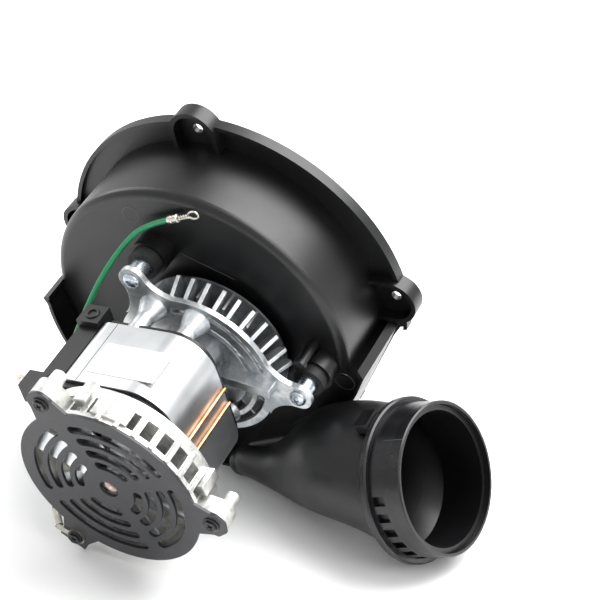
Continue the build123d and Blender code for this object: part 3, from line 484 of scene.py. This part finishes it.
def makeScrews(look):
    guardGrid = bmesh.new()
    mountGrid = bmesh.new()
    for angle in (*look["plainEars"], look["ringEar"]):
        lift = look["ringThickness"] if angle == look["ringEar"] else 0.0
        place = aroundShaft(look["guardCircle"], angle, look["guardSeat"] + lift)
        shank = ((look["guardReach"] - lift, look["guardShank"]), (0.0, look["guardShank"]))
        stackLoops(guardGrid, shank + look["guardHead"], place)
        place = aroundShaft(look["mountCircle"], angle, look["mountSeat"])
        shank = ((look["mountReach"], look["mountShank"]), (0.0, look["mountShank"]))
        stackLoops(mountGrid, shank + look["mountHead"], place)
    guard = newPiece("guardScrews", finishGrid(guardGrid, "guardScrews"), "blower", "black_screw")
    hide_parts("guard_screws")
    mount = newPiece("mountScrews", finishGrid(mountGrid, "mountScrews"), "blower", "zinc_steel")
    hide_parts("mount_screws")


makeScrews(screwLook)

# faced end of the shaft, seen in the guard's middle hole
shaftEndLook = {"seat": 154.6, "loops": ((0.0, 3.9), (0.25, 3.9), (0.55, 3.5), (0.6, 1.1), (0.3, 0.5))}


def makeShaftEnd(look):
    grid = bmesh.new()
    stackLoops(grid, look["loops"], shaftFrame @ shift(0.0, 0.0, look["seat"]))
    newPiece("shaftEnd", finishGrid(grid, "shaftEnd"), "rotor", "ground_steel", shaftFace)


makeShaftEnd(shaftEndLook)

# cast bars, pads and lugs on the rear bracket's ring
rearLook = {
    "ring": 47.0, "edge": 0.5,
    "firstBar": -7.25, "barStep": 11.5, "barCount": 7, "barWidth": 2.6, "barRise": 1.5, "barSink": 1.5,
    "barLow": 139.4, "barHigh": 155.2,
    # middle angle, span, low end, high end and rise of each pad
    "pads": (
        (56.5, 22.0, 138.0, 152.5, 1.5), (76.0, 7.0, 136.6, 149.0, 4.2), (-13.2, 7.0, 137.0, 149.5, 4.0),
    ),
    "padSlice": 7.0, "padSink": 1.0, "padLap": 0.45,
    # angle, circle and radius of each lug
    "lugs": ((-27.0, 57.2, 3.4), (93.0, 56.6, 3.6)),
    "lugLow": 137.5, "lugHigh": 147.0, "lugFoot": 0.8, "lugEdge": 0.6, "lugFlare": 1.12,
}


def makeRearCasting(look):
    grid = bmesh.new()
    ring, edge = look["ring"], look["edge"]
    for k in range(look["barCount"]):
        place = shaftFrame @ turn(look["firstBar"] + look["barStep"] * k)
        half = look["barWidth"] / 2
        low = (ring - look["barSink"], -half, look["barLow"])
        high = (ring + look["barRise"], half, look["barHigh"])
        addBlock(grid, place, low, high, edge)
    for angle, span, low, high, rise in look["pads"]:
        # a wide pad is laid in slices that follow the ring
        slices = max(1, round(span / look["padSlice"]))
        half = ring * math.radians(span / slices) / 2 + look["padLap"]
        for k in range(slices):
            place = shaftFrame @ turn(angle + (k - (slices - 1) / 2) * span / slices)
            addBlock(grid, place, (ring - look["padSink"], -half, low), (ring + rise, half, high), edge)
    for angle, circle, radius in look["lugs"]:
        foot = (0.0, radius * look["lugFoot"])
        top = (look["lugHigh"] - look["lugLow"], radius * look["lugFlare"])
        stackLoops(grid, (foot, (look["lugEdge"], radius), top), aroundShaft(circle, angle, look["lugLow"]))
    newPiece("rearCastBars", finishGrid(grid, "rearCastBars"), "blower", "cast_aluminium", rearCast)


makeRearCasting(rearLook)

# the stator stands turned about the shaft, with its terminal strip
stator = shaftFrame @ turn(-18.0)

# lap seam of the stator's wrap, drawn as a thin near-black strip: painted shadow in the seam
wrapSeamLook = {
    "top": 43.2, "sink": 0.3, "rise": 0.06, "seam": -19.6, "width": 0.34, "low": 91.4, "high": 131.1,
    "edge": 0.02,
}


def makeWrapSeam(look):
    grid = bmesh.new()
    low = (look["seam"] - look["width"], look["top"] - look["sink"], look["low"])
    high = (look["seam"], look["top"] + look["rise"], look["high"])
    addBlock(grid, stator, low, high, look["edge"])
    newPiece("wrapSeam", finishGrid(grid, "wrapSeam"), "blower", "wrap_steel", seamShadow)


makeWrapSeam(wrapSeamLook)

# terminal strip: the screw with a cross recess in its upper block
stripDetailLook = {
    "place": (-36.6, 44.0, 88.0),
    "loops": (
        (-0.5, 3.6), (0.5, 3.6), (0.8, 3.3), (0.8, 2.3), (-0.2, 2.1), (-0.2, crossOutline(1.5, 0.4)),
        (-0.45, crossOutline(1.2, 0.3)),
    ),
}


def makeStripDetail(look):
    grid = bmesh.new()
    stackLoops(grid, look["loops"], stator @ shift(*look["place"]) @ turn(-90.0, "X"))
    newPiece("stripDetail", finishGrid(grid, "stripDetail"), "blower", "strip_plastic")


makeStripDetail(stripDetailLook)

# marks that the mould leaves on the housing's face: ejector pins and a straight witness line
mouldLook = {
    "face": 45.0, "pins": ((-6.0, 78.7, 4.6), (58.0, -39.9, 5.4)),
    "pinRidge": ((-0.22, -0.2), (-0.16, 0.1), (0.16, 0.1), (0.22, -0.2)), "pinSides": 64,
    "line": ((8.9, 51.2), (31.5, 31.1)), "lineWidth": 0.28, "lineSink": 0.2, "lineRise": 0.12, "edge": 0.04,
}


def makeMouldMarks(look):
    grid = bmesh.new()
    for x, y, radius in look["pins"]:
        place = shaftFrame @ shift(x, y, look["face"])
        rings = []
        for across, height in look["pinRidge"]:
            outline = loopPoints(radius + across, look["pinSides"])
            rings.append([grid.verts.new(place @ Vector((a * mm, b * mm, height * mm))) for a, b in outline])
        for low, high in zip(rings, rings[1:] + rings[:1]):
            for k in range(look["pinSides"]):
                grid.faces.new((low[k - 1], low[k], high[k], high[k - 1]))
    start, end = [Vector((*spot, look["face"])) for spot in look["line"]]
    heading = math.degrees(math.atan2(end.y - start.y, end.x - start.x))
    half = look["lineWidth"] / 2
    low = (0.0, -half, -look["lineSink"])
    high = ((end - start).length, half, look["lineRise"])
    addBlock(grid, shaftFrame @ shift(*start) @ turn(heading), low, high, look["edge"])
    newPiece("mouldMarks", finishGrid(grid, "mouldMarks"), "blower", "housing_plastic", mouldEdge)


makeMouldMarks(mouldLook)

# parting line along the outlet collar
collarSeamLook = {
    "axis": (-86.5, 69.0), "angle": 16.0, "radius": 38.1, "start": 90.5, "end": 106.5,
    "sink": 0.3, "rise": 0.1, "width": 0.28, "edge": 0.04,
}


def makeCollarSeam(look):
    grid = bmesh.new()
    half = look["width"] / 2
    low = (look["start"], look["radius"] - look["sink"], -half)
    high = (look["end"], look["radius"] + look["rise"], half)
    place = shaftFrame @ shift(0.0, *look["axis"]) @ turn(look["angle"], "X")
    addBlock(grid, place, low, high, look["edge"])
    newPiece("collarSeam", finishGrid(grid, "collarSeam"), "blower", "collar_plastic", mouldEdge)


makeCollarSeam(collarSeamLook)
print("detail pieces")


# camera, at the height and side that shows the motor, the face and the mouth together
cameraLook = {
    "aim": (-0.0006, 0.0774, 0.0920), "azimuth": 35.6, "elevation": 25.66, "roll": 0.35,
    "distance": 0.9705, "lens": 111.0, "sensor": 36.0, "near": 0.05, "far": 20.0,
}


def makeCamera(look):
    side, rise = math.radians(look["azimuth"]), math.radians(look["elevation"])
    back = Vector((math.sin(side) * math.cos(rise), -math.cos(side) * math.cos(rise), math.sin(rise)))
    facing = back.to_track_quat("Z", "Y").to_matrix().to_4x4() @ turn(look["roll"])
    camera = bpy.data.objects.new("camera", bpy.data.cameras.new("camera"))
    bpy.context.scene.collection.objects.link(camera)
    camera.data.lens = look["lens"]
    camera.data.sensor_width = look["sensor"]
    camera.data.clip_start = look["near"]
    camera.data.clip_end = look["far"]
    camera.matrix_world = Matrix.Translation(Vector(look["aim"]) + back * look["distance"]) @ facing
    bpy.context.scene.camera = camera


makeCamera(cameraLook)


def newWire(name, route, look, slotName):
    curve = bpy.data.curves.new(name, "CURVE")
    curve.dimensions = "3D"
    curve.bevel_depth = look["radius"] * mm
    curve.bevel_resolution = look["roundness"]
    curve.resolution_u = look["steps"]
    spline = curve.splines.new("NURBS")
    spline.points.add(len(route) - 1)
    for point, spot in zip(spline.points, route):
        point.co = (*inShaft(*spot), 1.0)
    spline.order_u = 3
    spline.use_endpoint_u = True
    return newPiece(name, curve, "blower", slotName)


# free end of the ground lead: a crimped barrel and its two tinned wires, twisted and closed in an eye
twistLook = {
    "start": (20.2, 74.5, 49.3), "radius": 0.52, "roundness": 4, "steps": 12,
    "spread": 0.75, "turns": 2.5, "twistStart": 5.6, "twistEnd": 13.6, "twistPoints": 30,
    # height and radius of the barrel's crimped outline
    "barrelLoops": (
        (0.0, 1.978), (0.3, 2.15), (2.2, 2.15), (2.6, 1.806), (3.6, 1.806), (4.0, 2.15), (6.3, 2.15),
        (6.6, 1.72),
    ),
    # the eye, from the start: along, to the strand's own side and up
    "eye": ((15.2, 2.0, 0.1), (17.8, 2.1, 0.0), (19.3, 1.4, 0.0), (19.5, -0.4, 0.0)),
}


def makeTwistedEnd(look):
    x, y, z = look["start"]
    grid = bmesh.new()
    stackLoops(grid, look["barrelLoops"], shaftFrame @ shift(x, y, z) @ turn(90.0, "Y"))
    barrel = newPiece("leadBarrel", finishGrid(grid, "leadBarrel"), "blower", "tinned_brass")
    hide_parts("lead_terminal")
    pieces = [barrel]
    for strand in range(2):
        route = []
        for k in range(look["twistPoints"]):
            along = k / (look["twistPoints"] - 1)
            angle = math.pi * strand + 2 * math.pi * look["turns"] * along
            reach = x + look["twistStart"] + (look["twistEnd"] - look["twistStart"]) * along
            out, up = look["spread"] * math.cos(angle), look["spread"] * math.sin(angle)
            route.append((reach, y + out, z + up))
        side = 1 if route[-1][1] > y else -1
        for along, out, up in look["eye"]:
            route.append((x + along, y + side * out, z + up))
        pieces.append(newWire("leadStrand" + str(strand), route, look, "tinned_brass"))
    return pieces


# ground lead, from the ring terminal on the guard to the free terminal by the housing
leadLook = {
    "points": (
        (-56.5, -20.0, 152.3), (-62.0, -14.5, 144.0), (-64.0, -4.0, 129.5), (-63.0, 13.0, 111.0),
        (-54.0, 31.0, 94.0), (-39.5, 46.5, 80.0), (-25.5, 59.5, 68.5), (-13.0, 68.0, 56.0),
        (3.0, 74.5, 49.3), (23.0, 74.5, 49.3),
    ),
    "radius": 1.5, "roundness": 6, "steps": 16, "length": 185.6,
}


def makeLead(look):
    lead = newWire("groundLead", look["points"], look, "lead_insulation")
    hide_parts("ground_lead")
    makeTwistedEnd(twistLook)


makeLead(leadLook)
print("camera and ground lead")

# studio: white paper under a broad overhead light and two side boxes
studioLook = {
    "floorColour": "#fafafa", "floorRoughness": 0.6, "floorSize": 6.0,
    "worldColour": "#ffffff", "worldStrength": 0.9,
    "lights": (
        # name, place, aim, width, height, watts
        ("overhead", (0.4, 0.55, 1.15), (0.0, 0.05, 0.08), 1.3, 1.1, 34.0),
        ("rightBox", (1.1, -0.2, 0.9), (0.0, 0.0, 0.08), 0.7, 0.7, 5.0),
        ("leftBox", (-1.1, 0.1, 0.7), (0.0, 0.0, 0.08), 0.5, 0.8, 4.0),
    ),
}


def makeStudio(look):
    mesh = bpy.data.meshes.new("floor")
    half = look["floorSize"] / 2
    corners = [(-half, -half, 0), (half, -half, 0), (half, half, 0), (-half, half, 0)]
    mesh.from_pydata(corners, [], [(0, 1, 2, 3)])
    floor = bpy.data.objects.new("floor", mesh)
    bpy.context.scene.collection.objects.link(floor)
    paper, _, shader, _ = newMaterial("studioPaper")
    shader.inputs["Base Color"].default_value = linearColour(look["floorColour"])
    shader.inputs["Roughness"].default_value = look["floorRoughness"]
    mesh.materials.append(paper)
    world = bpy.data.worlds.new("studio")
    world.use_nodes = True
    backdrop = world.node_tree.nodes["Background"]
    backdrop.inputs["Color"].default_value = linearColour(look["worldColour"])
    backdrop.inputs["Strength"].default_value = look["worldStrength"]
    bpy.context.scene.world = world
    for name, spot, aim, width, height, watts in look["lights"]:
        light = bpy.data.lights.new(name, "AREA")
        light.shape = "RECTANGLE"
        light.size = width
        light.size_y = height
        light.energy = watts
        lamp = bpy.data.objects.new(name, light)
        bpy.context.scene.collection.objects.link(lamp)
        lamp.location = spot
        lamp.rotation_euler = (Vector(spot) - Vector(aim)).to_track_quat("Z", "Y").to_euler()
    bpy.context.scene.view_settings.view_transform = "Standard"


makeStudio(studioLook)
print("studio")
